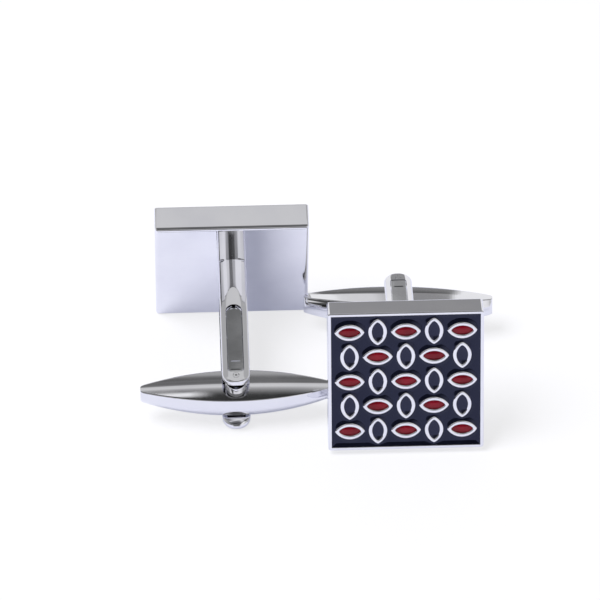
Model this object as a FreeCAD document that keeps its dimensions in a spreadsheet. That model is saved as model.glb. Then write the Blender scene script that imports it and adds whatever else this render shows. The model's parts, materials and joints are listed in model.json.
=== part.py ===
import FreeCAD, Part
import math
import os
import Sketcher

Vector = FreeCAD.Vector
Rotation = FreeCAD.Rotation
Placement = FreeCAD.Placement

# A pair of square cufflinks with swivel toggle backs, standing side by side.
# Each link rests on the lower back edge of its plate and on the toe of its post's lower arm.
# A link's own frame has its origin in the middle of the plate's back:
# X across the plate, Y along the post away from the plate, Z up the plate.

SIZES = {
    # square plate
    "plate_side": 16.0,
    "plate_thickness": 2.75,
    "plate_corner_radius": 0.25,
    "back_edge_radius": 0.25,
    "front_edge_radius": 0.12,
    "rim_width": 0.35,
    "recess_depth": 0.6,
    # lens pattern in the recess
    "cells_per_side": 5,
    "pattern_margin": 0.345,
    "outline_length_share": 1.055,
    "outline_width_share": 0.657,
    "outline_tip_wall": 0.395,
    "outline_side_wall": 0.45,
    "ground_enamel_drop": 0.2,
    "cell_enamel_drop": 0.12,
    # forked post
    "post_width": 2.9,
    "post_drop": 0.7,
    "post_crown": 0.35,
    "upper_edge_radius": 0.35,
    "lower_edge_radius": 0.6,
    "upper_arm_thickness": 0.75,
    "lower_arm_thickness": 1.23,
    "arm_tip_radius": 1.2,
    "upper_arm_overhang": 0.92,
    "lower_arm_overhang": 2.87,
    "pivot_reach": 14.75,
    "nest_clearance": 0.6,
    "window_lip": 1.6,
    "window_pivot_land": 0.45,
    "window_width": 1.7,
    "window_root_radius": 0.8,
    "window_toe_radius": 0.35,
    # solder round the post's foot
    "solder_height": 0.15,
    "solder_foot_width": 0.18,
    "solder_top_width": 0.05,
    # swivel toggle
    "toggle_length": 19.8,
    "toggle_width": 4.07,
    "toggle_end_width": 1.1,
    "toggle_thickness": 3.1,
    "toggle_crown": 0.25,
    "toggle_top_fall": 0.35,
    "toggle_bottom_fall": 0.9,
    "toggle_end_radius": 0.35,
    "hub_inset": 0.935,
    "hub_rise": 0.8,
    "hub_side_clearance": 0.1,
    # rivet that the toggle turns on
    "pin_radius": 0.28,
    "pin_head_radius": 0.34,
    "pin_head_depth": 0.15,
    "pin_crown": 0.05,
    "pin_seat_clearance": 0.01,
    "pin_running_clearance": 0.03,
    # leaf spring in the upper arm
    "spring_thickness": 0.2,
    "spring_side_clearance": 0.1,
    "spring_slot_clearance": 0.01,
    "spring_root_length": 2.0,
    "spring_recess": 0.22,
    "spring_pad_side": 1.1,
    "spring_pad_height": 0.12,
    "spring_pad_setback": 1.1,
    "detent_radius": 0.18,
    "detent_setback": 0.75,
    "detent_depth": 0.05,
    "detent_clearance": 0.1,
    # how the two links stand
    "yaw_degrees": 2.04,
    "neighbour_gap": 0.9,
    "right_toggle_turn_degrees": 4.0,
    # how far every cut runs past the surface that it opens
    "overrun": 0.5,
}

# Sizes worked out from the sheet's own, as expressions
FIELD_HALF = "(sizes.plate_side / 2 - sizes.rim_width)"
PATTERN_SPAN = f"(2 * ({FIELD_HALF} - sizes.pattern_margin))"
CELL_PITCH = f"({PATTERN_SPAN} / (sizes.cells_per_side - 1 + sizes.outline_length_share))"
OUTLINE_LENGTH = f"(sizes.outline_length_share * {CELL_PITCH})"
OUTLINE_WIDTH = f"(sizes.outline_width_share * {CELL_PITCH})"
CELL_LENGTH = f"({OUTLINE_LENGTH} - 2 * sizes.outline_tip_wall)"
CELL_WIDTH = f"({OUTLINE_WIDTH} - 2 * sizes.outline_side_wall)"
RECESS_FLOOR = "sizes.plate_thickness - sizes.recess_depth"
HUB_TOP = "(sizes.toggle_thickness / 2 + sizes.hub_rise)"
HUB_BOTTOM = "(sizes.toggle_thickness / 2)"
FORK_TOP = f"({HUB_TOP} + sizes.hub_side_clearance)"
FORK_BOTTOM = f"({HUB_BOTTOM} + sizes.hub_side_clearance)"
POST_TOP = f"({FORK_TOP} + sizes.upper_arm_thickness)"
POST_BOTTOM = f"({FORK_BOTTOM} + sizes.lower_arm_thickness)"
POST_HALF_WIDTH = "(sizes.post_width / 2)"
POST_CROWN_RADIUS = f"(({POST_HALF_WIDTH} ^ 2 + sizes.post_crown ^ 2) / (2 * sizes.post_crown))"
FOOT_LENGTH = "(sizes.pivot_reach - sizes.toggle_length / 2 - sizes.nest_clearance)"
UPPER_REACH = "sizes.pivot_reach + sizes.upper_arm_overhang"
LOWER_REACH = "sizes.pivot_reach + sizes.lower_arm_overhang"
WINDOW_START = f"({FOOT_LENGTH} + sizes.window_lip)"
WINDOW_END = "(sizes.pivot_reach - sizes.window_pivot_land)"
SPRING_TOP = f"({POST_TOP} - sizes.spring_recess)"
SPRING_ROOT = f"({WINDOW_START} - sizes.spring_root_length)"
SPRING_HALF_WIDTH = "(sizes.window_width / 2 - sizes.spring_side_clearance)"
DETENT_HEIGHT = f"({HUB_TOP} + sizes.detent_radius - sizes.detent_depth)"
HUB_RADIUS = "sizes.toggle_width / 2 - sizes.hub_inset"
CROWN_RADIUS = "((sizes.toggle_width / 2) ^ 2 + sizes.toggle_crown ^ 2) / (2 * sizes.toggle_crown)"

# Lens families: the column and row, from the lower left, where each grid of every other cell starts
FLAT_STARTS = [(0, 0), (1, 1)]
UPRIGHT_STARTS = [(1, 0), (0, 1)]

FULL_TURN = 360
STRAIGHT_ANGLE = 180
DETENTS_PER_TURN = 4
MODEL_PRECISION = 1e-6
START_INDEX, END_INDEX, MIDDLE_INDEX = 1, 2, 3
ACROSS_AXIS_INDEX, UP_AXIS_INDEX = -1, -2

doc = FreeCAD.newDocument("cufflinks")
sheet = doc.addObject("Spreadsheet::Sheet", "sizes")
for row, (alias, size) in enumerate(SIZES.items(), start=1):
    sheet.set(f"A{row}", alias)
    sheet.set(f"B{row}", str(size))
    sheet.setAlias(f"B{row}", alias)
doc.recompute()


def number(expression):
    """The present value of an expression."""
    return float(sheet.evalExpression(expression))


# Sketches and features tied to the sheet

def new_body(label, placement):
    """A body that carries its node's name and stands at the given place."""
    body = doc.addObject("PartDesign::Body", label)
    body.Label = label
    body.Placement = placement
    return body


def new_sketch(body, plane, name, lift="0"):
    """A sketch on one of the body's own planes, lifted along that plane's normal."""
    sketch = body.newObject("Sketcher::SketchObject", f"{body.Label}_{name}_sketch")
    support = next(o for o in body.Origin.OriginFeatures if o.Role == plane)
    sketch.AttachmentSupport = [(support, "")]
    sketch.MapMode = "FlatFace"
    sketch.setExpression("AttachmentOffset.Base.z", lift)
    return sketch


def tie_point(sketch, side, end, across, up):
    """Hold one point of a side at a place given by two expressions."""
    ties = (("DistanceX", UP_AXIS_INDEX, across), ("DistanceY", ACROSS_AXIS_INDEX, up))
    for kind, axis, expression in ties:
        if expression == "0":
            sketch.addConstraint(Sketcher.Constraint("PointOnObject", side, end, axis))
            continue
        distance = Sketcher.Constraint(kind, ACROSS_AXIS_INDEX, START_INDEX, side, end, number(expression))
        sketch.setExpression(f"Constraints[{sketch.addConstraint(distance)}]", expression)


def tie_radius(sketch, side, radius):
    """Hold the radius of an arc or a circle."""
    index = sketch.addConstraint(Sketcher.Constraint("Radius", side, number(radius)))
    sketch.setExpression(f"Constraints[{index}]", radius)


def draw_outline(sketch, corners, swells=None, hollows=None):
    """A closed outline, anticlockwise, through corners given as pairs of expressions.

    swells and hollows give the radius of each side that curves out or in, by the side's number.
    """
    swells = swells or {}
    hollows = hollows or {}
    points = [Vector(number(across), number(up)) for across, up in corners]
    sides = []
    for index, first in enumerate(points):
        last = points[(index + 1) % len(points)]
        radius = swells.get(index) or hollows.get(index)
        if radius is None:
            sides.append((sketch.addGeometry(Part.LineSegment(first, last)), START_INDEX, END_INDEX))
            continue
        chord = last - first
        outward = Vector(chord.y, -chord.x, 0).normalize()
        sagitta = number(radius) - math.sqrt(number(radius) ** 2 - (chord.Length / 2) ** 2)
        if index in swells:
            arc = Part.Arc(first, (first + last) / 2 + outward * sagitta, last)
            sides.append((sketch.addGeometry(arc), START_INDEX, END_INDEX))
        else:
            arc = Part.Arc(last, (first + last) / 2 - outward * sagitta, first)
            sides.append((sketch.addGeometry(arc), END_INDEX, START_INDEX))
        tie_radius(sketch, sides[-1][0], radius)
    for index, (side, first_end, last_end) in enumerate(sides):
        next_side, next_first_end, _ = sides[(index + 1) % len(sides)]
        sketch.addConstraint(Sketcher.Constraint("Coincident", side, last_end, next_side, next_first_end))
        tie_point(sketch, side, first_end, *corners[index])


def draw_rectangle(sketch, left, right, bottom, top):
    """A rectangle between four expressions."""
    draw_outline(sketch, [(left, bottom), (right, bottom), (right, top), (left, top)])


def draw_circle(sketch, radius, across="0", up="0"):
    """A circle held by its middle and its radius."""
    middle = Vector(number(across), number(up))
    circle = sketch.addGeometry(Part.Circle(middle, Vector(0, 0, 1), number(radius)))
    tie_radius(sketch, circle, radius)
    tie_point(sketch, circle, MIDDLE_INDEX, across, up)


def draw_axis(sketch, first, last):
    """A construction line to turn a profile about."""
    ends = [Vector(number(across), number(up)) for across, up in (first, last)]
    line = sketch.addGeometry(Part.LineSegment(*ends), True)
    tie_point(sketch, line, START_INDEX, *first)
    tie_point(sketch, line, END_INDEX, *last)


def add_feature(sketch, kind, name, tied, **plain):
    """A feature made from a sketch; tied settings are expressions, plain ones are values."""
    body = sketch.getParentGeoFeatureGroup()
    feature = body.newObject(f"PartDesign::{kind}", f"{body.Label}_{name}")
    feature.Profile = sketch
    for setting, wanted in plain.items():
        setattr(feature, setting, wanted)
    for setting, expression in tied.items():
        feature.setExpression(setting, expression)
    doc.recompute()
    return feature


def turn_profile(sketch, kind, name, axis):
    """A full turn of a profile about one of its sketch's axes."""
    return add_feature(sketch, kind, name, {}, ReferenceAxis=(sketch, [axis]), Angle=FULL_TURN)


def round_edges(body, name, radius, wanted):
    """Round those edges of the body so far whose middle point and direction pass a test."""
    base = body.Tip
    edges = []
    for index, edge in enumerate(base.Shape.Edges, start=1):
        first, last = edge.FirstParameter, edge.LastParameter
        chord = edge.valueAt(last) - edge.valueAt(first)
        along = chord / chord.Length if chord.Length > MODEL_PRECISION else chord
        if wanted(edge.valueAt((first + last) / 2), along):
            edges.append(f"Edge{index}")
    fillet = body.newObject("PartDesign::Fillet", f"{body.Label}_{name}")
    fillet.Base = (base, edges)
    fillet.setExpression("Radius", radius)
    doc.recompute()
    return fillet


def same(one, other):
    """Whether two lengths agree to within the modeller's own precision."""
    return math.isclose(one, other, abs_tol=MODEL_PRECISION)


def repeat_cells(feature, sketch, start):
    """Copy a lens over every other column and row of the field."""
    body = sketch.getParentGeoFeatureGroup()
    column, row = start
    columns = f"floor((sizes.cells_per_side + 1 - {column}) / 2)"
    rows = f"floor((sizes.cells_per_side + 1 - {row}) / 2)"
    grid = body.newObject("PartDesign::LinearPattern", f"{feature.Name}_grid")
    grid.Originals = [feature]
    grid.Direction = (sketch, ["H_Axis"])
    grid.Direction2 = (sketch, ["V_Axis"])
    grid.setExpression("Occurrences", columns)
    grid.setExpression("Occurrences2", rows)
    grid.setExpression("Length", f"2 * {CELL_PITCH} * ({columns} - 1)")
    grid.setExpression("Length2", f"2 * {CELL_PITCH} * ({rows} - 1)")
    body.Tip = grid
    doc.recompute()


def draw_lens(sketch, start, length, width, upright):
    """A pointed lens of two arcs on the first cell of a family, lying flat or standing upright."""
    column, row = start
    across = f"({CELL_PITCH} * ({column} - (sizes.cells_per_side - 1) / 2))"
    up = f"({CELL_PITCH} * ({row} - (sizes.cells_per_side - 1) / 2))"
    radius = f"({length} ^ 2 + {width} ^ 2) / (4 * {width})"
    if upright:
        tips = [(across, f"{up} - {length} / 2"), (across, f"{up} + {length} / 2")]
    else:
        tips = [(f"{across} + {length} / 2", up), (f"{across} - {length} / 2", up)]
    draw_outline(sketch, tips, swells={0: radius, 1: radius})


LENS_FAMILIES = [(start, False) for start in FLAT_STARTS] + [(start, True) for start in UPRIGHT_STARTS]


# The pieces of one link

def make_face_plate(label, placement):
    """Polished plate: a shallow tray with a thin rim and a raised outline round every cell."""
    body = new_body(label, placement)
    slab = new_sketch(body, "XZ_Plane", "slab")
    half = "sizes.plate_side / 2"
    draw_rectangle(slab, f"-{half}", half, f"-{half}", half)
    add_feature(slab, "Pad", "slab", {"Length": "sizes.plate_thickness"})
    front = -number("sizes.plate_thickness")
    round_edges(body, "corners", "sizes.plate_corner_radius", lambda at, along: same(abs(along.y), 1))
    round_edges(body, "back_edge", "sizes.back_edge_radius", lambda at, along: same(at.y, 0))
    round_edges(body, "front_edge", "sizes.front_edge_radius", lambda at, along: same(at.y, front))
    recess = new_sketch(body, "XZ_Plane", "recess", "sizes.plate_thickness")
    draw_rectangle(recess, f"-{FIELD_HALF}", FIELD_HALF, f"-{FIELD_HALF}", FIELD_HALF)
    add_feature(recess, "Pocket", "recess", {"Length": "sizes.recess_depth"})
    for index, (start, upright) in enumerate(LENS_FAMILIES):
        outline = new_sketch(body, "XZ_Plane", f"outline_{index}", RECESS_FLOOR)
        draw_lens(outline, start, OUTLINE_LENGTH, OUTLINE_WIDTH, upright)
        draw_lens(outline, start, CELL_LENGTH, CELL_WIDTH, upright)
        wall = add_feature(outline, "Pad", f"outline_{index}", {"Length": "sizes.recess_depth"})
        repeat_cells(wall, outline, start)
    return body


def make_ground_enamel(label, placement):
    """Dark enamel that floods the tray between the raised outlines."""
    body = new_body(label, placement)
    depth = "sizes.recess_depth - sizes.ground_enamel_drop"
    field = new_sketch(body, "XZ_Plane", "field", RECESS_FLOOR)
    draw_rectangle(field, f"-{FIELD_HALF}", FIELD_HALF, f"-{FIELD_HALF}", FIELD_HALF)
    add_feature(field, "Pad", "field", {"Length": depth})
    for index, (start, upright) in enumerate(LENS_FAMILIES):
        hole = new_sketch(body, "XZ_Plane", f"hole_{index}", RECESS_FLOOR)
        draw_lens(hole, start, OUTLINE_LENGTH, OUTLINE_WIDTH, upright)
        cut = add_feature(hole, "Pocket", f"hole_{index}", {"Length": depth}, Reversed=True)
        repeat_cells(cut, hole, start)
    return body


def make_cell_enamel(label, placement, starts, upright):
    """Enamel inside one kind of outline, a drop of its own in every cell."""
    body = new_body(label, placement)
    body.AllowCompound = True
    depth = "sizes.recess_depth - sizes.cell_enamel_drop"
    for index, start in enumerate(starts):
        drop = new_sketch(body, "XZ_Plane", f"drop_{index}", RECESS_FLOOR)
        draw_lens(drop, start, CELL_LENGTH, CELL_WIDTH, upright)
        fill = add_feature(drop, "Pad", f"drop_{index}", {"Length": depth})
        repeat_cells(fill, drop, start)
    return body


def make_post(label, placement):
    """Forked post: a solid foot and two arms that hold the toggle between them."""
    body = new_body(label, placement)
    bar = new_sketch(body, "XZ_Plane", "bar")
    upper_side = f"({POST_TOP} - sizes.post_crown)"
    lower_side = f"-({POST_BOTTOM} - sizes.post_crown)"
    draw_outline(bar, [
        (f"-{POST_HALF_WIDTH}", lower_side),
        (POST_HALF_WIDTH, lower_side),
        (POST_HALF_WIDTH, upper_side),
        (f"-{POST_HALF_WIDTH}", upper_side),
    ], swells={0: POST_CROWN_RADIUS, 2: POST_CROWN_RADIUS})
    add_feature(bar, "Pad", "bar", {"Length": LOWER_REACH}, Reversed=True)
    gap = new_sketch(body, "YZ_Plane", "gap")
    beyond = f"({LOWER_REACH} + sizes.overrun)"
    above = f"({POST_TOP} + sizes.overrun)"
    draw_outline(gap, [
        (FOOT_LENGTH, f"-{FORK_BOTTOM}"),
        (beyond, f"-{FORK_BOTTOM}"),
        (beyond, above),
        (UPPER_REACH, above),
        (UPPER_REACH, FORK_TOP),
        (FOOT_LENGTH, FORK_TOP),
    ])
    cut_width = "sizes.post_width + 2 * sizes.overrun"
    add_feature(gap, "Pocket", "gap", {"Length": cut_width}, SideType="Symmetric")
    tips = [number(UPPER_REACH), number(LOWER_REACH)]
    round_edges(body, "tips", "sizes.arm_tip_radius", lambda at, along: (
        same(abs(along.z), 1) and any(same(at.y, tip) for tip in tips)))
    for arm, side, inner in (("upper", 1, FORK_TOP), ("lower", -1, FORK_BOTTOM)):
        beyond_gap = number(inner) + MODEL_PRECISION
        round_edges(body, f"{arm}_edges", f"sizes.{arm}_edge_radius", lambda at, along: (
            side * at.z > beyond_gap and not same(at.y, 0) and not same(abs(along.z), 1)))
    window = new_sketch(body, "XY_Plane", "window", POST_TOP)
    window_half = "sizes.window_width / 2"
    draw_rectangle(window, f"-{window_half}", window_half, WINDOW_START, WINDOW_END)
    add_feature(window, "Pocket", "window", {"Length": "sizes.upper_arm_thickness"})
    for end, place, radius in (("root", WINDOW_START, "sizes.window_root_radius"),
                               ("toe", WINDOW_END, "sizes.window_toe_radius")):
        round_edges(body, f"window_{end}", radius, lambda at, along: (
            same(abs(along.z), 1) and same(abs(at.x), number(window_half)) and same(at.y, number(place))))
    slot = new_sketch(body, "XY_Plane", "spring_slot", f"{SPRING_TOP} + sizes.spring_slot_clearance")
    slot_half = f"({SPRING_HALF_WIDTH} + sizes.spring_slot_clearance)"
    slot_mouth = f"{WINDOW_START} + sizes.window_root_radius"
    draw_rectangle(slot, f"-{slot_half}", slot_half, SPRING_ROOT, slot_mouth)
    slot_height = "sizes.spring_thickness + 2 * sizes.spring_slot_clearance"
    add_feature(slot, "Pocket", "spring_slot", {"Length": slot_height})
    bore = new_sketch(body, "YZ_Plane", "pin_bore")
    draw_spool(bore, "sizes.pivot_reach", "sizes.pin_seat_clearance", "sizes.overrun")
    turn_profile(bore, "Groove", "pin_bore", "Axis0")
    return body


def draw_spool(sketch, axis_place, clearance, crown):
    """Half of a rivet with a sunk head at each end, beside its own axis."""
    shank = f"{axis_place} + sizes.pin_radius + {clearance}"
    head = f"{axis_place} + sizes.pin_head_radius + {clearance}"
    top = f"({POST_TOP} + {crown})"
    bottom = f"-({POST_BOTTOM} + {crown})"
    draw_outline(sketch, [
        (axis_place, bottom),
        (head, bottom),
        (head, f"-{POST_BOTTOM}"),
        (shank, f"-({POST_BOTTOM} - sizes.pin_head_depth)"),
        (shank, f"({POST_TOP} - sizes.pin_head_depth)"),
        (head, POST_TOP),
        (head, top),
        (axis_place, top),
    ])
    draw_axis(sketch, (axis_place, bottom), (axis_place, top))


def make_pivot_pin(label, placement):
    """Rivet through both arms and the toggle, with sunk heads that stand a little proud."""
    body = new_body(label, placement)
    profile = new_sketch(body, "YZ_Plane", "profile")
    shank = "sizes.pin_radius"
    head = "sizes.pin_head_radius"
    crown_radius = "(sizes.pin_head_radius ^ 2 + sizes.pin_crown ^ 2) / (2 * sizes.pin_crown)"
    draw_outline(profile, [
        ("0", f"-({POST_BOTTOM} + sizes.pin_crown)"),
        (head, f"-{POST_BOTTOM}"),
        (shank, f"-({POST_BOTTOM} - sizes.pin_head_depth)"),
        (shank, f"({POST_TOP} - sizes.pin_head_depth)"),
        (head, POST_TOP),
        ("0", f"({POST_TOP} + sizes.pin_crown)"),
    ], swells={0: crown_radius, 4: crown_radius})
    turn_profile(profile, "Revolution", "turned", "V_Axis")
    return body


def make_solder_fillet(label, placement):
    """Sloping collar of solder round the post's foot, against the plate's back."""
    body = new_body(label, placement)
    outer = new_sketch(body, "XZ_Plane", "outer")
    draw_post_section(outer, "sizes.solder_foot_width")
    slope = "-atan((sizes.solder_foot_width - sizes.solder_top_width) / sizes.solder_height)"
    add_feature(outer, "Pad", "outer", {"Length": "sizes.solder_height", "TaperAngle": slope}, Reversed=True)
    inner = new_sketch(body, "XZ_Plane", "inner")
    draw_post_section(inner, "0")
    add_feature(inner, "Pocket", "inner", {"Length": "sizes.solder_height"})
    return body


def draw_post_section(sketch, margin):
    """The post's section with its crowned faces and rounded edges, widened all round by a margin."""
    across = f"({POST_HALF_WIDTH} + {margin})"
    crown = f"({POST_CROWN_RADIUS} + {margin})"

    def rounding(outer, edge_radius):
        """Where one rounded edge leaves the side and meets the crown, and its radius."""
        radius = f"({edge_radius} + {margin})"
        middle_across = f"({across} - {radius})"
        middle_up = f"sqrt(({crown} - {radius}) ^ 2 - {middle_across} ^ 2)"
        stretch = f"({crown} / ({crown} - {radius}))"
        crown_middle = f"({outer} + {margin} - {crown})"
        on_side = f"({crown_middle} + {middle_up})"
        on_crown = (f"({middle_across} * {stretch})", f"({crown_middle} + {middle_up} * {stretch})")
        return on_side, on_crown, radius

    lower_side, (lower_across, lower_up), lower_radius = rounding(POST_BOTTOM, "sizes.lower_edge_radius")
    upper_side, (upper_across, upper_up), upper_radius = rounding(POST_TOP, "sizes.upper_edge_radius")
    corners = [
        (f"-{lower_across}", f"-{lower_up}"),
        (lower_across, f"-{lower_up}"),
        (across, f"-{lower_side}"),
        (across, upper_side),
        (upper_across, upper_up),
        (f"-{upper_across}", upper_up),
        (f"-{across}", upper_side),
        (f"-{across}", f"-{lower_side}"),
    ]
    draw_outline(sketch, corners, swells={
        0: crown, 1: lower_radius, 3: upper_radius, 4: crown, 5: upper_radius, 7: lower_radius})


def make_detent_spring(label, placement):
    """Leaf spring rooted in the post's foot, with a square pad and a round nose that presses on the hub."""
    body = new_body(label, placement)
    leaf = new_sketch(body, "XY_Plane", "leaf", SPRING_TOP)
    leaf_tip = f"({WINDOW_END} - sizes.spring_side_clearance)"
    draw_rectangle(leaf, f"-{SPRING_HALF_WIDTH}", SPRING_HALF_WIDTH, SPRING_ROOT, leaf_tip)
    add_feature(leaf, "Pad", "leaf", {"Length": "sizes.spring_thickness"}, Reversed=True)
    tip_radius = "sizes.window_toe_radius - sizes.spring_side_clearance"
    round_edges(body, "tip", tip_radius, lambda at, along: (
        same(abs(along.z), 1) and same(at.y, number(leaf_tip))))
    nose_place = "(sizes.pivot_reach - sizes.detent_setback)"
    nose = new_sketch(body, "YZ_Plane", "nose")
    leaf_middle = f"({SPRING_TOP} - sizes.spring_thickness / 2)"
    draw_nose(nose, nose_place, "sizes.detent_radius", leaf_middle)
    turn_profile(nose, "Revolution", "nose", "Axis0")
    pad = new_sketch(body, "XY_Plane", "pad", SPRING_TOP)
    pad_half = "sizes.spring_pad_side / 2"
    pad_place = "(sizes.pivot_reach - sizes.spring_pad_setback)"
    pad_start = f"{pad_place} - {pad_half}"
    pad_end = f"{pad_place} + {pad_half}"
    draw_rectangle(pad, f"-{pad_half}", pad_half, pad_start, pad_end)
    add_feature(pad, "Pad", "pad", {"Length": "sizes.spring_pad_height"})
    return body


def draw_nose(sketch, axis_place, radius, top):
    """Half of a round-nosed peg that points down, beside its own axis."""
    side = f"{axis_place} + {radius}"
    foot = f"{DETENT_HEIGHT} - {radius}"
    draw_outline(sketch, [
        (axis_place, foot),
        (side, DETENT_HEIGHT),
        (side, top),
        (axis_place, top),
    ], swells={0: radius})
    draw_axis(sketch, (axis_place, foot), (axis_place, top))


def make_toggle_bar(label, placement):
    """Swivel bar: lens shaped in plan, crowned above and below, with a hub that stands up to the arm."""
    body = new_body(label, placement)
    planes = {o.Role: o for o in body.Origin.OriginFeatures}
    half_length = "sizes.toggle_length / 2"
    half_end = "sizes.toggle_end_width / 2"
    half_thickness = "sizes.toggle_thickness / 2"
    plan = new_sketch(body, "XY_Plane", "plan")
    belly = "((sizes.toggle_width - sizes.toggle_end_width) / 2)"
    belly_radius = f"(({half_length}) ^ 2 + {belly} ^ 2) / (2 * {belly})"
    draw_outline(plan, [
        (f"-{half_length}", f"-{half_end}"),
        (half_length, f"-{half_end}"),
        (half_length, half_end),
        (f"-{half_length}", half_end),
    ], swells={0: belly_radius, 2: belly_radius})
    add_feature(plan, "Pad", "plan", {"Length": "sizes.toggle_thickness"}, SideType="Symmetric")
    round_edges(body, "ends", "sizes.toggle_end_radius", lambda at, along: same(abs(along.z), 1))
    beyond = f"({half_length} + sizes.overrun)"
    for side, sign, fall in (("upper", "", "sizes.toggle_top_fall"), ("lower", "-", "sizes.toggle_bottom_fall")):
        crown = new_sketch(body, "XZ_Plane", f"{side}_crown")
        ridge_radius = f"((({half_length}) ^ 2 + {fall} ^ 2) / (2 * {fall}))"
        ridge_end = f"{sign}({half_thickness} - {ridge_radius} + sqrt({ridge_radius} ^ 2 - {beyond} ^ 2))"
        clear = f"{sign}({half_thickness} + sizes.overrun)"
        first, last = (beyond, f"-{beyond}") if sign else (f"-{beyond}", beyond)
        draw_outline(crown, [
            (first, ridge_end),
            (last, ridge_end),
            (last, clear),
            (first, clear),
        ], hollows={0: ridge_radius})
        crown_axis = f"{sign}({half_thickness} - {CROWN_RADIUS})"
        draw_axis(crown, (f"-{beyond}", crown_axis), (beyond, crown_axis))
        turn_profile(crown, "Groove", f"{side}_crown", "Axis0")
    hub = new_sketch(body, "XY_Plane", "hub", f"-{HUB_BOTTOM}")
    draw_circle(hub, HUB_RADIUS)
    hub_height = f"{HUB_TOP} + {HUB_BOTTOM}"
    add_feature(hub, "Pad", "hub", {"Length": hub_height})
    bore = new_sketch(body, "XY_Plane", "bore", HUB_TOP)
    draw_circle(bore, "sizes.pin_radius + sizes.pin_running_clearance")
    add_feature(bore, "Pocket", "bore", {"Length": hub_height})
    dimple = new_sketch(body, "YZ_Plane", "dimple")
    dimple_radius = "(sizes.detent_radius + sizes.detent_clearance)"
    draw_nose(dimple, "-sizes.detent_setback", dimple_radius, f"({DETENT_HEIGHT} + sizes.overrun)")
    first = turn_profile(dimple, "Groove", "dimple", "Axis0")
    ring = body.newObject("PartDesign::PolarPattern", f"{label}_dimples")
    ring.Originals = [first]
    ring.Axis = (planes["Z_Axis"], [""])
    ring.Angle = FULL_TURN
    ring.Occurrences = DETENTS_PER_TURN
    body.Tip = ring
    doc.recompute()
    return body


# How a link stands, and the pair

def lean_angle():
    """Lean, in radians, at which the plate's back edge and the lower arm's toe meet one level."""
    edge = number("sizes.back_edge_radius")
    toe = number("sizes.lower_edge_radius")
    edge_up = edge - number("sizes.plate_side / 2")
    toe_up = toe - number(f"sizes.post_drop + {POST_BOTTOM}")
    rise = edge_up - toe_up
    run = number(LOWER_REACH) - toe + edge
    return math.atan2(run, rise) - math.acos((edge - toe) / math.hypot(run, rise))


def link_frame(turn):
    """Place of a link's own frame, the second link being the first one turned half round."""
    lean = lean_angle()
    edge = number("sizes.back_edge_radius")
    stand = edge + (number("sizes.plate_side / 2") - edge) * math.cos(lean) - edge * math.sin(lean)
    toggle_reach = number("sizes.pivot_reach") * math.cos(lean) - number("sizes.post_drop") * math.sin(lean)
    apart_across = number("(sizes.plate_side + sizes.toggle_length) / 2")
    apart_along = toggle_reach + number("sizes.neighbour_gap")
    half_turn = Rotation(Vector(0, 0, 1), turn)
    place = half_turn.multVec(Vector(apart_across / 2, -apart_along / 2, stand))
    yaw = Rotation(Vector(0, 0, 1), number("sizes.yaw_degrees"))
    tilt = Rotation(Vector(1, 0, 0), -math.degrees(lean))
    return Placement(place, half_turn * yaw * tilt)


def make_link(side, turn):
    """All the pieces of one cufflink."""
    plate = link_frame(turn)
    foot = plate * Placement(Vector(0, 0, -number("sizes.post_drop")), Rotation())
    hub = foot * Placement(Vector(0, number("sizes.pivot_reach"), 0), Rotation())
    print(side, "hub", hub.Base, "pivot", hub.Rotation.multVec(Vector(0, 0, 1)))
    toggle_turn = -number("sizes.right_toggle_turn_degrees") if side == "right" else 0
    toggle = hub * Placement(Vector(), Rotation(Vector(0, 0, 1), toggle_turn))
    return [
        make_face_plate(f"{side}_face_plate", plate),
        make_ground_enamel(f"{side}_ground_enamel", plate),
        make_cell_enamel(f"{side}_red_cell_enamel", plate, FLAT_STARTS, False),
        make_cell_enamel(f"{side}_navy_cell_enamel", plate, UPRIGHT_STARTS, True),
        make_post(f"{side}_post", foot),
        make_solder_fillet(f"{side}_solder_fillet", foot),
        make_detent_spring(f"{side}_detent_spring", foot),
        make_pivot_pin(f"{side}_pivot_pin", hub),
        make_toggle_bar(f"{side}_toggle_bar", toggle),
    ]


nodes = make_link("right", 0) + make_link("left", STRAIGHT_ANGLE)
doc.recompute()

failed = [o.Label for o in doc.Objects if "Invalid" in o.State or "Error" in o.State]
failed += [n.Label for n in nodes if n.Shape.isNull() or not n.Shape.isValid()]
if failed:
    raise RuntimeError(f"these did not come out sound: {failed}")
os.makedirs("parts", exist_ok=True)
for node in nodes:
    node.Shape.exportStep(f"parts/{node.Label}.step")
    print(node.Label, len(node.Shape.Solids), "solids", round(node.Shape.Volume, 3), "cubic mm")
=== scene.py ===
import json
import math
import bmesh
import bpy
from mathutils import Matrix, Vector, noise


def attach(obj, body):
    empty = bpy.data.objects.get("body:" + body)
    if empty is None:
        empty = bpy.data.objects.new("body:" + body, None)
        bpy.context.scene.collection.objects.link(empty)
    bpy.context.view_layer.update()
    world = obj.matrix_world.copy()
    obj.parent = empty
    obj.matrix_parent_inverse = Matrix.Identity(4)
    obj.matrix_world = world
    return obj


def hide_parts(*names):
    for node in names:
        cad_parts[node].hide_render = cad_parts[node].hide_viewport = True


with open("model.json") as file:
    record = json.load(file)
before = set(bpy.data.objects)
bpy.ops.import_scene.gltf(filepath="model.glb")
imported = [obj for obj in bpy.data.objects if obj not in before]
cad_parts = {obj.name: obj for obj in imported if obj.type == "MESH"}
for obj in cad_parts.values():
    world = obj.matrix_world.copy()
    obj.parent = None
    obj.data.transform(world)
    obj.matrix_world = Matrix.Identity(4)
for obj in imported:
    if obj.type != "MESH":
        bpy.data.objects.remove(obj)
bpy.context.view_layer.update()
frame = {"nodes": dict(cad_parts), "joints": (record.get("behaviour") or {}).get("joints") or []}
print("frame loaded,", len(frame["nodes"]), "nodes")

mm = 0.001
scene = bpy.context.scene
scene.view_settings.view_transform = "Standard"


# camera, at the photograph's angle

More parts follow.
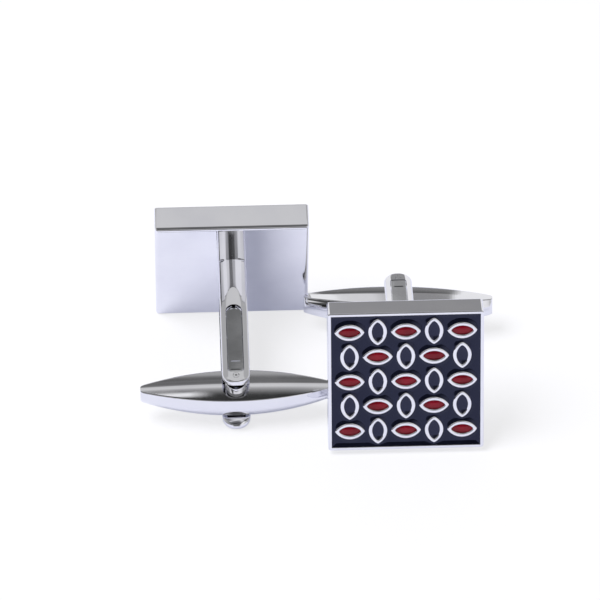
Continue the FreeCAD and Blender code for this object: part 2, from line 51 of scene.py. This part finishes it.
cameraSpot = {
    "target": (-1.83, 11.23, 0.0),  # mm, the point in the middle of the picture
    "distance": 698.95,  # mm
    "elevation": 42.64,
    "lens": 396.27,
    "sensorWidth": 36,
    "clipStart": 0.05,  # metres, like the next
    "clipEnd": 10,
}
cameraData = bpy.data.cameras.new("photo_camera")
cameraData.lens = cameraSpot["lens"]
cameraData.sensor_width = cameraSpot["sensorWidth"]
cameraData.clip_start = cameraSpot["clipStart"]
cameraData.clip_end = cameraSpot["clipEnd"]
camera = bpy.data.objects.new("photo_camera", cameraData)
scene.collection.objects.link(camera)
rise = math.radians(cameraSpot["elevation"])
backwards = Vector((0, -math.cos(rise), math.sin(rise)))
camera.location = Vector(cameraSpot["target"]) * mm + backwards * cameraSpot["distance"] * mm
camera.rotation_euler = (-backwards).to_track_quat("-Z", "Y").to_euler()
scene.camera = camera
print("camera set")


# node helpers

def addNode(tree, kind, **settings):
    node = tree.nodes.new(kind)
    for name, value in settings.items():
        setattr(node, name, value)
    return node


def newFinish(name):
    finish = bpy.data.materials.new(name)
    finish.use_nodes = True
    tree = finish.node_tree
    shader = tree.nodes["Principled BSDF"]
    place = addNode(tree, "ShaderNodeTexCoord")
    return finish, tree, shader, place.outputs["Object"]


def addNoise(tree, place, scale, detail, stretch=None):
    if stretch:
        mapping = addNode(tree, "ShaderNodeMapping")
        mapping.inputs["Scale"].default_value = stretch
        tree.links.new(place, mapping.inputs["Vector"])
        place = mapping.outputs["Vector"]
    speckle = addNode(tree, "ShaderNodeTexNoise")
    speckle.inputs["Scale"].default_value = scale
    speckle.inputs["Detail"].default_value = detail
    tree.links.new(place, speckle.inputs["Vector"])
    return speckle.outputs["Fac"]


def addRange(tree, value, low, high, fromLow=0.35, fromHigh=0.65):
    spread = addNode(tree, "ShaderNodeMapRange")
    spread.inputs["From Min"].default_value = fromLow
    spread.inputs["From Max"].default_value = fromHigh
    spread.inputs["To Min"].default_value = low
    spread.inputs["To Max"].default_value = high
    tree.links.new(value, spread.inputs["Value"])
    return spread.outputs["Result"]


def addBlend(tree, value, dark, light):
    blend = addNode(tree, "ShaderNodeMix", data_type="RGBA")
    blend.inputs["A"].default_value = (*dark, 1)
    blend.inputs["B"].default_value = (*light, 1)
    tree.links.new(value, blend.inputs["Factor"])
    return blend.outputs["Result"]


def addMix(tree, factor, first, second, blend="MIX"):
    mix = addNode(tree, "ShaderNodeMix", data_type="RGBA", blend_type=blend)
    tree.links.new(factor, mix.inputs["Factor"])
    tree.links.new(first, mix.inputs["A"])
    tree.links.new(second, mix.inputs["B"])
    return mix.outputs["Result"]


def addMath(tree, operation, *values):
    step = addNode(tree, "ShaderNodeMath", operation=operation)
    for socket, value in zip(step.inputs, values):
        tree.links.new(value, socket)
    return step.outputs["Value"]


def addBump(tree, shader, value, strength, depth):
    bump = addNode(tree, "ShaderNodeBump")
    bump.inputs["Strength"].default_value = strength
    bump.inputs["Distance"].default_value = depth
    tree.links.new(value, bump.inputs["Height"])
    tree.links.new(bump.outputs["Normal"], shader.inputs["Normal"])


# finishes; colour and roughness of each wander between two values

def addWander(tree, shader, value, look):
    colour = addBlend(tree, addRange(tree, value, 0, 1), look["shade"], look["colour"])
    tree.links.new(colour, shader.inputs["Base Color"])
    tree.links.new(addRange(tree, value, *look["roughness"]), shader.inputs["Roughness"])


def makePolished(name, look):
    finish, tree, shader, place = newFinish(name)
    smudge = addNoise(tree, place, look["smudgeScale"], detail=3.0)
    hairline = addNoise(tree, place, look["hairlineScale"], detail=1.0, stretch=look["hairlineStretch"])
    shader.inputs["Metallic"].default_value = 1
    addWander(tree, shader, smudge, look)
    addBump(tree, shader, hairline, look["hairlineStrength"], look["hairlineDepth"])
    return finish


plateLook = {
    "colour": (0.86, 0.86, 0.9),
    "shade": (0.82, 0.82, 0.87),
    "roughness": (0.02, 0.05),
    "smudgeScale": 260,
    "hairlineScale": 900,
    "hairlineStretch": (1, 1, 8),
    "hairlineStrength": 0.02,
    "hairlineDepth": 0.00001,
}
barLook = dict(plateLook, roughness=(0.03, 0.07), colour=(0.84, 0.84, 0.87), shade=(0.8, 0.8, 0.84),
               hairlineStretch=(8, 1, 1))
solderLook = dict(plateLook, roughness=(0.12, 0.24), colour=(0.74, 0.74, 0.77), shade=(0.62, 0.62, 0.66))
springLook = dict(plateLook, roughness=(0.06, 0.12), colour=(0.84, 0.85, 0.88), shade=(0.8, 0.81, 0.84),
                  hairlineScale=2600, hairlineStrength=0.06)
polishedPlate = makePolished("polished_plate", plateLook)
polishedBar = makePolished("polished_bar", barLook)
solderSkin = makePolished("solder_skin", solderLook)
springSteel = makePolished("spring_steel", springLook)


def makeEnamel(name, look):
    finish, tree, shader, place = newFinish(name)
    cloud = addNoise(tree, place, look["cloudScale"], detail=3.0)
    ripple = addNoise(tree, place, look["rippleScale"], detail=1.0)
    addWander(tree, shader, cloud, look)
    shader.inputs["Specular IOR Level"].default_value = look["gloss"]
    shader.inputs["Specular Tint"].default_value = (*look["sheen"], 1)
    addBump(tree, shader, ripple, look["rippleStrength"], look["rippleDepth"])
    return finish


groundLook = {
    "colour": (0.005, 0.006, 0.014),
    "shade": (0.003, 0.0035, 0.009),
    "roughness": (0.05, 0.1),
    "gloss": 0.7,
    "sheen": (0.43, 0.47, 0.78),
    "cloudScale": 420,
    "rippleScale": 900,
    "rippleStrength": 0.12,
    "rippleDepth": 0.00003,
}
navyCellLook = dict(groundLook, colour=(0.01, 0.011, 0.02), shade=(0.007, 0.008, 0.015),
                    sheen=(0.5, 0.53, 0.9))
redCellLook = dict(groundLook, colour=(0.26, 0.007, 0.02), shade=(0.17, 0.004, 0.012), gloss=0.34,
                   sheen=(1.0, 0.75, 0.75), cloudScale=700)
groundNavy = makeEnamel("ground_navy", groundLook)
cellNavy = makeEnamel("cell_navy", navyCellLook)
cellRed = makeEnamel("cell_red", redCellLook)
print("finishes made")


# link frame and mesh helpers; a link is drawn in mm:
# x across the plate, y along the post from the plate's back, z up the plate

linkSize = {"pivotReach": 14.75, "postDrop": 0.7, "toggleTurn": {"right": -4, "left": 0}}


def linkPlace(side):
    swing = next(joint for joint in frame["joints"] if joint["name"] == side + "_toggle_swing")
    hub = Vector(swing["pos_m"])
    up = Vector(swing["axis"]).normalized()
    across = up.cross(Vector((0, 0, 1))).normalized()
    along = up.cross(across)
    origin = hub - along * linkSize["pivotReach"] * mm + up * linkSize["postDrop"] * mm
    turned = Matrix((across, along, up)).transposed().to_4x4()
    return Matrix.Translation(origin) @ turned @ Matrix.Scale(mm, 4)


def newShape():
    shape = bmesh.new()
    shape.verts.layers.int.new("turn")  # each point's number round its loop
    return shape


def loft(shape, count, levels, place, ends="capped"):
    turn = shape.verts.layers.int["turn"]
    ring = bmesh.ops.create_circle(shape, segments=count, radius=1)["verts"]
    for index, vert in enumerate(ring):
        vert[turn] = index
    edges = list({edge for vert in ring for edge in vert.link_edges})
    firstEdges = edges
    for step, level in enumerate(levels):
        if step:
            grown = bmesh.ops.extrude_edge_only(shape, edges=edges)["geom"]
            ring = [part for part in grown if isinstance(part, bmesh.types.BMVert)]
            fresh = set(ring)
            edges = [part for part in grown if isinstance(part, bmesh.types.BMEdge)
                     and part.verts[0] in fresh and part.verts[1] in fresh]
        for vert in ring:
            vert.co = place(level, vert[turn])
    if ends == "capped":
        bmesh.ops.contextual_create(shape, geom=firstEdges)
        bmesh.ops.contextual_create(shape, geom=edges)
    else:
        bmesh.ops.bridge_loops(shape, edges=firstEdges + edges)


def showPiece(shape, name, finish, slotName, body, nodes, sharpAngle=40):
    mesh = bpy.data.meshes.new(name)
    shape.to_mesh(mesh)
    shape.free()
    mesh.materials.append(finish)
    mesh.shade_smooth()
    mesh.set_sharp_from_angle(angle=math.radians(sharpAngle))
    piece = bpy.data.objects.new(name, mesh)
    scene.collection.objects.link(piece)
    even = piece.modifiers.new("even_shading", "WEIGHTED_NORMAL")
    even.keep_sharp = True
    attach(piece, body)
    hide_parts(*nodes)


def placeShape(shape, side):
    bmesh.ops.recalc_face_normals(shape, faces=shape.faces[:])
    bmesh.ops.transform(shape, matrix=linkPlace(side), verts=shape.verts[:])


def quarter(steps):
    return [math.pi / 2 * step / steps for step in range(steps + 1)]


# square plate with its rim, tray and raised lens outlines

plate = {
    "half": 8.0,
    "thickness": 2.75,
    "corner": 0.25,
    "backRound": 0.42,
    "backSwell": 0.2,
    "frontRound": 0.12,
    "rim": 0.35,
    "rimRound": 0.06,
    "trayDepth": 0.6,
    "cornerPoints": 5,
    "leastCorner": 0.03,
    "backSteps": 7,
    "frontSteps": 4,
    "rimSteps": 3,
}
pattern = {
    "cells": 5,
    "pitch": 2.8902,
    "outerLength": 3.05,
    "outerWidth": 1.9,
    "outerBlunt": 1.5,
    "innerLength": 2.24,
    "innerWidth": {True: 1.06, False: 1.18},  # flat lenses, upright lenses
    "innerBlunt": 1.4,
    "points": 64,
    "crownSteps": 10,
    "crownFall": 0.06,
    "crownPower": 4,
}
fieldHalf = plate["half"] - plate["rim"]
trayFloor = -plate["thickness"] + plate["trayDepth"]


def squarePoint(level, index):
    half, depth = level
    corner = max(plate["corner"] - (plate["half"] - half), plate["leastCorner"])
    quadrant, step = divmod(index, plate["cornerPoints"])
    angle = math.pi / 2 * (quadrant + step / (plate["cornerPoints"] - 1))
    sideX = 1 if quadrant in (0, 3) else -1
    sideZ = 1 if quadrant in (0, 1) else -1
    x = sideX * (half - corner) + corner * math.cos(angle)
    z = sideZ * (half - corner) + corner * math.sin(angle)
    return Vector((x, depth, z))


def plateLevels():
    half, face, rear = plate["half"], -plate["thickness"], plate["backSwell"]
    back, front, rim = plate["backRound"], plate["frontRound"], plate["rimRound"]
    levels = []
    for angle in quarter(plate["backSteps"]):
        levels.append((half - back * (1 - math.sin(angle)), rear - back * (1 - math.cos(angle))))
    for angle in quarter(plate["frontSteps"]):
        levels.append((half - front * (1 - math.cos(angle)), face + front * (1 - math.sin(angle))))
    for angle in quarter(plate["rimSteps"]):
        levels.append((fieldHalf + rim * (1 - math.sin(angle)), face + rim * (1 - math.cos(angle))))
    return levels + [(fieldHalf, trayFloor)]


def cellList(flat):
    middle = (pattern["cells"] - 1) / 2
    cells = [(column, row) for column in range(pattern["cells"]) for row in range(pattern["cells"])]
    return [((column - middle) * pattern["pitch"], (row - middle) * pattern["pitch"])
            for column, row in cells if ((column + row) % 2 == 0) == flat]


def lensPoint(length, width, blunt, index):
    angle = 2 * math.pi * index / pattern["points"]
    swell = abs(math.sin(angle)) ** blunt
    return length / 2 * math.cos(angle), math.copysign(width / 2 * swell, math.sin(angle))


def between(first, last, share):
    return first + (last - first) * share


def shareOf(value, start, full):
    return min(max((value - start) / (full - start), 0), 1)


def addLens(shape, cell, flat, levels, ends):
    def place(level, index):
        share, scale, depth = level
        length = between(pattern["outerLength"], pattern["innerLength"], share) * scale
        width = between(pattern["outerWidth"], pattern["innerWidth"][flat], share) * scale
        blunt = between(pattern["outerBlunt"], pattern["innerBlunt"], share)
        along, across = lensPoint(length, width, blunt, index)
        if flat:
            return Vector((cell[0] + along, depth, cell[1] + across))
        return Vector((cell[0] - across, depth, cell[1] + along))
    loft(shape, pattern["points"], levels, place, ends)


def outlineLevels():
    levels = [(0, 1, trayFloor)]
    for step in range(pattern["crownSteps"] + 1):
        share = 0.5 - 0.5 * math.cos(math.pi * step / pattern["crownSteps"])
        fall = pattern["crownFall"] * abs(2 * share - 1) ** pattern["crownPower"]
        levels.append((share, 1, -plate["thickness"] + fall))
    return levels + [(1, 1, trayFloor)]


def makePlate(side):
    shape = newShape()
    loft(shape, 4 * plate["cornerPoints"], plateLevels(), squarePoint)
    for flat in (True, False):
        for cell in cellList(flat):
            addLens(shape, cell, flat, outlineLevels(), "joined")
    placeShape(shape, side)
    showPiece(shape, side + "_plate", polishedPlate, "polished_plate", side + "_link",
              [side + "_face_plate"])


# enamel: the ground creeps up its walls, the upright cells are dished and the flat cells domed

enamel = {
    "groundDrop": 0.2,
    "groundCreep": 0.105,
    "creepReach": 0.46,
    "creepPower": 1.15,
    "groundSteps": 200,
    "wave": 0.012,
    "waveScale": 0.7,
    "underWall": 0.05,  # further inside a wall than this, the ground sinks to just above the tray's floor
    "floorGap": 0.02,
    "cellEdgeDrop": {True: 0.2, False: 0.1},  # flat lenses, upright lenses
    "cellDish": {True: -0.1, False: 0.12},
    "cellOverlap": 1.03,
    "cellRings": (1.0, 0.93, 0.84, 0.72, 0.56, 0.38, 0.2, 0.06),
}
groundCells = [(flat, cellList(flat)) for flat in (True, False)]


def wallGap(x, z):
    gap = fieldHalf - max(abs(x), abs(z))
    length, width = pattern["outerLength"], pattern["outerWidth"]
    radius = (length ** 2 + width ** 2) / (4 * width)
    for flat, cells in groundCells:
        for cellX, cellZ in cells:
            along, across = abs(x - cellX), abs(z - cellZ)
            if not flat:
                along, across = across, along
            gap = min(gap, math.hypot(along, across + radius - width / 2) - radius)
    return gap


def groundDepth(x, z):
    gap = wallGap(x, z)
    if gap < -enamel["underWall"]:
        return trayFloor - enamel["floorGap"]
    near = shareOf(gap, enamel["creepReach"], 0)
    creep = enamel["groundCreep"] * near ** enamel["creepPower"]
    wave = enamel["wave"] * noise.noise(Vector((x, z, 0)) * enamel["waveScale"])
    return -plate["thickness"] + enamel["groundDrop"] - creep + wave


def makeGround(side):
    shape = newShape()
    upright = Matrix.Rotation(math.pi / 2, 4, "X")
    steps = enamel["groundSteps"]
    bmesh.ops.create_grid(shape, x_segments=steps, y_segments=steps, size=fieldHalf, matrix=upright)
    for vert in shape.verts:
        vert.co.y = groundDepth(vert.co.x, vert.co.z)
    rimEdges = [edge for edge in shape.edges if edge.is_boundary]
    grown = bmesh.ops.extrude_edge_only(shape, edges=rimEdges)["geom"]
    lower = [part for part in grown if isinstance(part, bmesh.types.BMVert)]
    for vert in lower:
        vert.co.y = trayFloor
    bmesh.ops.contextual_create(shape, geom=[edge for edge in shape.edges if edge.is_boundary])
    placeShape(shape, side)
    showPiece(shape, side + "_ground", groundNavy, "navy_enamel", side + "_link", [side + "_ground_enamel"])


def cellLevels(flat):
    edge = -plate["thickness"] + enamel["cellEdgeDrop"][flat]
    levels = [(1, enamel["cellOverlap"], trayFloor)]
    for ring in enamel["cellRings"]:
        levels.append((1, enamel["cellOverlap"] * ring, edge + enamel["cellDish"][flat] * (1 - ring ** 2)))
    return levels


def makeCells(side, flat, name, finish, slotName, node):
    shape = newShape()
    for cell in cellList(flat):
        addLens(shape, cell, flat, cellLevels(flat), "capped")
    placeShape(shape, side)
    showPiece(shape, side + name, finish, slotName, side + "_link", [side + node])


# swivel bar

toggle = {
    "length": 19.8,
    "width": 4.39,
    "endWidth": 1.42,
    "thickness": 3.1,
    "topFall": 0.35,
    "bottomFall": 0.9,
    "roofSlope": 0.0787,
    "roofCurve": 0.0114,
    "ridgeRound": 0.12,
    "wallBulge": 0.26,
    "wallPoints": 9,
    "endRound": 0.35,
    "endSteps": 6,
    "edgeRound": 0.12,
    "topPoints": 33,
    "edgePoints": 4,
    "lengthSteps": 72,
    "hubRadius": 1.1,
    "hubRise": 0.8,
    "hubRound": 0.08,
    "hubSteps": 3,
    "hubPoints": 64,
}


def arcFall(chordHalf, fall, x):
    radius = (chordHalf ** 2 + fall ** 2) / (2 * fall)
    return radius - math.sqrt(radius ** 2 - x ** 2)


def barSection(x):
    half = toggle["length"] / 2
    width = toggle["width"] / 2 - arcFall(half, (toggle["width"] - toggle["endWidth"]) / 2, x)
    past = abs(x) - (half - toggle["endRound"])
    if past > 0:
        width -= toggle["endRound"] - math.sqrt(max(toggle["endRound"] ** 2 - past ** 2, 0))
    width = max(width, toggle["ridgeRound"])
    bulge = min(toggle["wallBulge"], width / 3)
    edge = min(toggle["edgeRound"], width / 2)
    inner = width - bulge - edge

    def gable(y):
        run = math.sqrt(y ** 2 + toggle["ridgeRound"] ** 2) - toggle["ridgeRound"]
        return toggle["roofSlope"] * run + toggle["roofCurve"] * run ** 2

    def roof(fall):
        ridge = toggle["thickness"] / 2 - arcFall(half, fall, x)
        steps = toggle["topPoints"] - 1
        middle = [inner * (2 * step / steps - 1) for step in range(steps + 1)]
        shoulder = [(inner + edge * math.sin(angle), ridge - gable(inner) - edge * (1 - math.cos(angle)))
                    for angle in quarter(toggle["edgePoints"])[1:]]
        return [(-y, z) for y, z in reversed(shoulder)] + [(y, ridge - gable(y)) for y in middle] + shoulder

    upper = roof(toggle["topFall"])
    lower = [(y, -z) for y, z in reversed(roof(toggle["bottomFall"]))]
    wall = []
    for step in range(1, toggle["wallPoints"]):
        share = step / toggle["wallPoints"]
        wall.append((width - bulge * (2 * share - 1) ** 2, between(upper[-1][1], lower[0][1], share)))
    return upper + wall + lower + [(-y, z) for y, z in reversed(wall)]


def makeToggle(side):
    shape = newShape()
    half = toggle["length"] / 2
    ends = [half - toggle["endRound"] * (1 - math.sin(angle)) for angle in quarter(toggle["endSteps"])]
    inner = half - toggle["endRound"]
    stations = [-x for x in reversed(ends)]
    stations += [inner * (2 * step / toggle["lengthSteps"] - 1) for step in range(1, toggle["lengthSteps"])]
    stations += ends

    def barPoint(level, index):
        x, section = level
        return Vector((x, *section[index]))

    levels = [(x, barSection(x)) for x in stations]
    loft(shape, len(levels[0][1]), levels, barPoint)
    top, soft = toggle["thickness"] / 2, toggle["hubRound"]
    rounded = [(toggle["hubRadius"] - soft * (1 - math.sin(angle)), soft * (1 - math.cos(angle)))
               for angle in quarter(toggle["hubSteps"])]
    hubLevels = [(radius, -top + rise) for radius, rise in rounded]
    hubLevels += [(radius, top + toggle["hubRise"] - rise) for radius, rise in reversed(rounded)]

    def hubPoint(level, index):
        radius, z = level
        angle = 2 * math.pi * index / toggle["hubPoints"]
        return Vector((radius * math.cos(angle), radius * math.sin(angle), z))

    loft(shape, toggle["hubPoints"], hubLevels, hubPoint)
    hub = Matrix.Translation((0, linkSize["pivotReach"], -linkSize["postDrop"]))
    swing = Matrix.Rotation(math.radians(linkSize["toggleTurn"][side]), 4, "Z")
    bmesh.ops.transform(shape, matrix=hub @ swing, verts=shape.verts[:])
    placeShape(shape, side)
    showPiece(shape, side + "_bar", polishedBar, "polished_metal", side + "_toggle", [side + "_toggle_bar"])


# leaf spring in the window of the upper arm, rising to the arm's tip, with its square pad

leaf = {
    "root": 5.92,
    "toe": 14.22,
    "half": 0.79,
    "toeRound": 0.3,
    "toeHeight": 2.69,
    "slope": 0.0787,
    "thickness": 0.25,
    "edgeRound": 0.05,
    "edgeSteps": 3,
    "sharpAngle": 25,
    "padMiddle": 13.5,
    "padHalf": (0.48, 0.58),
    "padBevel": 0.09,
    "padRise": 0.06,
    "arcPoints": 12,
}


def leafTop(y):
    return leaf["toeHeight"] - leaf["slope"] * (leaf["toe"] - y)


def leafOutline(inset):
    half = leaf["half"] - inset
    corner = leaf["toeRound"] - inset
    turns = quarter(leaf["arcPoints"])
    toe = [(half - corner * (1 - math.cos(angle)), leaf["toe"] - inset - corner * (1 - math.sin(angle)))
           for angle in turns]
    root = [(half * math.cos(angle), leaf["root"] + leaf["half"] - half * math.sin(angle))
            for angle in turns]
    rightHalf = list(reversed(root)) + toe
    return rightHalf + [(-x, y) for x, y in reversed(rightHalf[1:])]


def makeLeaf(side):
    shape = newShape()

    def leafPoint(level, index):
        inset, drop = level
        x, y = leafOutline(inset)[index]
        return Vector((x, y, leafTop(y) - drop))

    soft = leaf["edgeRound"]
    levels = [(0, leaf["thickness"])]
    levels += [(soft * (1 - math.cos(angle)), soft * (1 - math.sin(angle)))
               for angle in quarter(leaf["edgeSteps"])]
    loft(shape, len(leafOutline(0)), levels, leafPoint)

    def padPoint(level, index):
        inset, rise = level
        sideX = 1 if index in (0, 3) else -1
        sideY = 1 if index in (0, 1) else -1
        x = sideX * leaf["padHalf"][0]
        y = leaf["padMiddle"] + sideY * (leaf["padHalf"][1] - inset)
        return Vector((x, y, leafTop(y) + rise))

    padLevels = [(0, -soft), (0, 0), (leaf["padBevel"], leaf["padRise"])]
    loft(shape, 4, padLevels, padPoint)
    placeShape(shape, side)
    showPiece(shape, side + "_leaf", springSteel, "spring_steel", side + "_link", [side + "_detent_spring"],
              leaf["sharpAngle"])


# pieces that keep the shape of their node, apart from the upper arm:
# it is flat on top round its window and climbs a little to its tip, and the rivet and the collar follow it

keptShapes = {
    "_post": ("_fork", polishedBar, "polished_metal"),
    "_pivot_pin": ("_rivet", polishedBar, "polished_metal"),
    "_solder_fillet": ("_collar", solderSkin, "solder"),
}
keptSharpAngle = 32
weldGap = 0.001 * mm
arm = {
    "crownTop": 2.5,
    "flatTop": 2.4,
    "flatStart": 3.5,
    "flatFull": 5.8,
    "slices": 40,
    "rootDip": 0.2,
    "tipRise": 0.38,
    "reach": 15.67,
    "fixedHeight": 0.9,
    "freeHeight": 1.75,
}


def raiseArm(shape, side):
    bmesh.ops.transform(shape, matrix=linkPlace(side).inverted(), verts=shape.verts[:])
    for step in range(1, arm["slices"]):
        cut = Vector((0, arm["reach"] * step / arm["slices"], 0))
        everything = shape.verts[:] + shape.edges[:] + shape.faces[:]
        bmesh.ops.bisect_plane(shape, geom=everything, plane_co=cut, plane_no=(0, 1, 0))
    for vert in shape.verts:
        flat = shareOf(vert.co.y, arm["flatStart"], arm["flatFull"])
        free = shareOf(vert.co.z, arm["fixedHeight"], arm["freeHeight"])
        vert.co.z = min(vert.co.z, between(arm["crownTop"], arm["flatTop"], flat))
        vert.co.z += free * between(-arm["rootDip"], arm["tipRise"], vert.co.y / arm["reach"])
    bmesh.ops.transform(shape, matrix=linkPlace(side), verts=shape.verts[:])


def dressNode(side, node):
    name, finish, slotName = keptShapes[node]
    shape = bmesh.new()
    shape.from_mesh(frame["nodes"][side + node].data)
    bmesh.ops.remove_doubles(shape, verts=shape.verts[:], dist=weldGap)
    raiseArm(shape, side)
    showPiece(shape, side + name, finish, slotName, side + "_link", [side + node], keptSharpAngle)


for side in ("right", "left"):
    makePlate(side)
    makeGround(side)
    makeCells(side, True, "_red_cells", cellRed, "red_enamel", "_red_cell_enamel")
    makeCells(side, False, "_navy_cells", cellNavy, "navy_enamel", "_navy_cell_enamel")
    makeToggle(side)
    makeLeaf(side)
    for node in keptShapes:
        dressNode(side, node)
    print(side, "link dressed")


# white table, soft light and surroundings

studio = {
    "tableSide": 6.0,
    "tableColour": (0.92, 0.92, 0.99),
    "glossColour": (0.64, 0.68, 0.86),
    "whiteShare": 0.7,
    "glossShare": 0.3,
    "keySpot": (-0.35, -0.1, 0.75),
    "keySize": 0.5,
    "keyPower": 6.0,
}


def addRayKinds(tree):
    rays = addNode(tree, "ShaderNodeLightPath")
    seen = rays.outputs["Is Camera Ray"]
    for kind in ("Is Glossy Ray", "Is Transmission Ray"):
        seen = addMath(tree, "MAXIMUM", seen, rays.outputs[kind])
    return rays.outputs["Is Camera Ray"], seen


def makeTable():
    finish = bpy.data.materials.new("white_table")
    finish.use_nodes = True
    tree = finish.node_tree
    tree.nodes.remove(tree.nodes["Principled BSDF"])
    paper = addNode(tree, "ShaderNodeBsdfDiffuse")
    paper.inputs["Color"].default_value = (*studio["tableColour"], 1)
    glow = addNode(tree, "ShaderNodeEmission")
    direct, seen = addRayKinds(tree)
    tree.links.new(addBlend(tree, direct, studio["glossColour"], (1, 1, 1)), glow.inputs["Color"])
    share = addRange(tree, direct, studio["glossShare"], studio["whiteShare"], 0, 1)
    both = addNode(tree, "ShaderNodeMixShader")
    tree.links.new(addMath(tree, "MULTIPLY", share, seen), both.inputs["Fac"])
    tree.links.new(paper.outputs["BSDF"], both.inputs[1])
    tree.links.new(glow.outputs["Emission"], both.inputs[2])
    tree.links.new(both.outputs["Shader"], tree.nodes["Material Output"].inputs["Surface"])
    shape = bmesh.new()
    bmesh.ops.create_grid(shape, x_segments=1, y_segments=1, size=studio["tableSide"] / 2)
    mesh = bpy.data.meshes.new("table")
    shape.to_mesh(mesh)
    shape.free()
    mesh.materials.append(finish)
    table = bpy.data.objects.new("table", mesh)
    scene.collection.objects.link(table)


surround = {
    # grey level by direction: 0 is the horizon behind, 0.5 straight up, 1 the horizon in front
    "overhead": [
        (0.0, 0.3), (0.017, 0.2), (0.028, 0.11), (0.036, 0.12), (0.05, 0.3), (0.16, 0.3),
        (0.24, 0.45), (0.3, 0.45), (0.326, 0.42), (0.332, 0.4), (0.334, 0.25), (0.338, 0.11),
        (0.341, 0.13), (0.344, 0.18), (0.348, 0.14), (0.36, 0.26), (0.372, 0.62), (0.445, 0.68),
        (0.452, 0.4), (0.458, 0.2), (0.464, 0.035), (0.5, 0.04), (0.56, 0.18), (0.65, 0.18),
        (0.7, 0.05), (0.74, 0.03), (0.76, 0.95), (0.89, 0.95), (0.91, 0.05), (1.0, 0.05),
    ],
    # grey level by height: 0 is the horizon, 1 straight up
    "sides": [(0.0, 0.8), (0.2, 0.65), (0.5, 0.45), (1.0, 0.42)],
    "sideStart": 0.45,
    "sideFull": 0.75,
}
# patches on that sky: levels by direction, and how far sideways each starts and is full;
# most add light, lens takes light away and leftFront scales it down
patches = {
    "highLamp": {
        "levels": [(0.458, 0.0), (0.46, 1.0), (0.4655, 1.0), (0.4675, 0.0)],
        "start": -0.02,
        "full": -0.055,
    },
    "lowLamp": {
        "levels": [(0.085, 0.0), (0.1, 0.75), (0.18, 0.75), (0.195, 0.0)],
        "start": 0.022,
        "full": -0.022,
    },
    "flanks": {
        "levels": [(0.29, 0.0), (0.31, 0.45), (0.375, 0.45), (0.39, 0.0)],
        "start": 0.22,
        "full": 0.36,
    },
    "wings": {
        "levels": [(0.0, 0.95), (0.2, 0.95), (0.25, 0.0)],
        "start": 0.048,
        "full": 0.058,
    },
    "rightFront": {
        "levels": [(0.88, 0.0), (0.9, 0.95), (1.0, 0.95)],
        "start": 0.2,
        "full": 0.35,
    },
    "leftFront": {
        "levels": [(0.82, 1.0), (0.84, 0.08), (1.0, 0.08)],
        "start": -0.2,
        "full": -0.35,
    },
    "lens": {
        "levels": [(0.74, 0.0), (0.76, 0.75), (0.84, 0.75), (0.88, 0.0)],
        "start": 0.24,
        "full": 0.04,
    },
}


def addRamp(tree, value, stops):
    ramp = addNode(tree, "ShaderNodeValToRGB")
    band = ramp.color_ramp
    while len(band.elements) < len(stops):
        band.elements.new(0.5)
    for element, (place, grey) in zip(band.elements, stops):
        element.position = place
        element.color = (grey, grey, grey, 1)
    tree.links.new(value, ramp.inputs["Fac"])
    return ramp.outputs["Color"]


def makeSurround():
    world = bpy.data.worlds.new("studio")
    world.use_nodes = True
    scene.world = world
    tree = world.node_tree
    glow = tree.nodes["Background"]
    direction = addNode(tree, "ShaderNodeTexCoord")
    parts = addNode(tree, "ShaderNodeSeparateXYZ")
    tree.links.new(direction.outputs["Generated"], parts.inputs["Vector"])
    turn = addMath(tree, "ARCTAN2", parts.outputs["Z"], parts.outputs["Y"])
    arc = addRange(tree, turn, 0, 1, 0, math.pi)
    sideways = parts.outputs["X"]
    reach = addMath(tree, "ABSOLUTE", sideways)

    def addPatch(name, place):
        patch = patches[name]
        share = addRange(tree, place, 0, 1, patch["start"], patch["full"])
        return addRamp(tree, arc, patch["levels"]), share

    lit = addRamp(tree, arc, surround["overhead"])
    for name in ("highLamp", "lowLamp", "rightFront"):
        lit = addMath(tree, "MAXIMUM", lit, addMath(tree, "MULTIPLY", *addPatch(name, sideways)))
    for name in ("flanks", "wings"):
        lit = addMath(tree, "MAXIMUM", lit, addMath(tree, "MULTIPLY", *addPatch(name, reach)))
    overhead = addMath(tree, "SUBTRACT", lit, addMath(tree, "MULTIPLY", *addPatch("lens", reach)))
    sides = addRamp(tree, parts.outputs["Z"], surround["sides"])
    sideShare = addRange(tree, reach, 0, 1, surround["sideStart"], surround["sideFull"])
    sky = addMix(tree, sideShare, overhead, sides)
    levels, share = addPatch("leftFront", sideways)
    sky = addMix(tree, share, sky, levels, "MULTIPLY")
    rays = addNode(tree, "ShaderNodeLightPath")
    shown = addNode(tree, "ShaderNodeMix", data_type="RGBA")
    tree.links.new(rays.outputs["Is Camera Ray"], shown.inputs["Factor"])
    tree.links.new(sky, shown.inputs["A"])
    shown.inputs["B"].default_value = (1, 1, 1, 1)
    tree.links.new(shown.outputs["Result"], glow.inputs["Color"])


def makeKey():
    data = bpy.data.lights.new("soft_key", "AREA")
    data.shape = "DISK"
    data.size = studio["keySize"]
    data.energy = studio["keyPower"]
    key = bpy.data.objects.new("soft_key", data)
    key.location = studio["keySpot"]
    key.rotation_euler = (-Vector(studio["keySpot"])).to_track_quat("-Z", "Y").to_euler()
    key.visible_glossy = False
    scene.collection.objects.link(key)


makeTable()
makeSurround()
makeKey()
print("studio lit")
